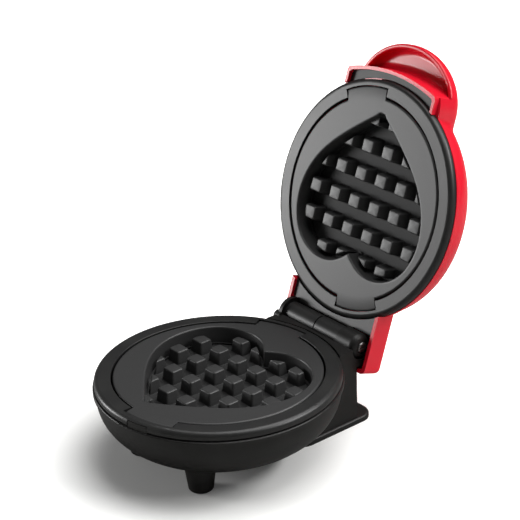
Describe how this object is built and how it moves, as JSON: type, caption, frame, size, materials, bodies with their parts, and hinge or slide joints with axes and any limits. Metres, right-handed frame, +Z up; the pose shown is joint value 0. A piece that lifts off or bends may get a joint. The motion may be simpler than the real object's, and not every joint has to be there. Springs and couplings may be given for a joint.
{
  "type": "mini waffle maker",
  "caption": "Small round countertop waffle maker standing open: heart-shaped wells with square studs in two cast plates, a hinged glossy lid with a hollow handle, and an indicator window.",
  "frame": {"origin": "on the table, under the middle of the open appliance's bounding box", "axes": "+Z up; -Y the front, where the handle is when the lid is closed; +X to the right of someone standing in front of it; the hinge runs along X at the back"},
  "size_m": [0.1284, 0.209, 0.1855],
  "materials": {
    "housing_plastic": "black, fine satin grain",
    "bezel_plastic": "black, smooth satin",
    "nonstick": "cast, with a dark grey non-stick coat",
    "lid_gloss": "red, high gloss",
    "window": "tinted, translucent, fluted",
    "heater_tube": "dull sheathed tube",
    "ceramic_white": "unglazed",
    "reflector_steel": "mill finish",
    "pin_steel": "turned",
    "screw_steel": "zinc plated",
    "control_body": "moulded phenolic",
    "lamp_glass": "clear, tinted",
    "core_sleeve": "woven silicone sleeve",
    "bush_rubber": "soft black",
    "foot_rubber": "black, satin"
  },
  "bodies": {
    "base": {"base_housing": "housing_plastic", "rear_tower": "housing_plastic", "base_ring": "bezel_plastic", "lower_plate": "nonstick", "lower_element": "heater_tube", "lower_terminals": "ceramic_white", "lower_reflector": "reflector_steel", "lower_screws": "screw_steel", "lower_thermostat": "control_body", "lower_fuse": "ceramic_white", "front_foot_left": "foot_rubber", "front_foot_right": "foot_rubber", "stand_plate": "foot_rubber", "stand_screws": "screw_steel", "tower_back": "housing_plastic", "cord_gland": "bush_rubber", "hinge_pin": "pin_steel", "supply_lead_left": "core_sleeve", "supply_lead_right": "core_sleeve"},
    "lid": {"lid_shell": "lid_gloss", "lid_ring": "bezel_plastic", "upper_plate": "nonstick", "upper_element": "heater_tube", "upper_terminals": "ceramic_white", "upper_reflector": "reflector_steel", "upper_screws": "screw_steel", "upper_fuse": "ceramic_white", "hinge_bracket": "bezel_plastic", "apron_liner": "bezel_plastic", "lens": "window", "lamp_holder": "ceramic_white", "lamps": "lamp_glass", "lid_lead_left": "core_sleeve", "lid_lead_right": "core_sleeve"}
  },
  "joints": [
    {"name": "lid_hinge", "type": "hinge", "parent": "base", "child": "lid", "pos_m": [0, 0.03233, 0.0432], "axis": [1, 0, 0], "range_deg": [0, 109.5]}
  ]
}
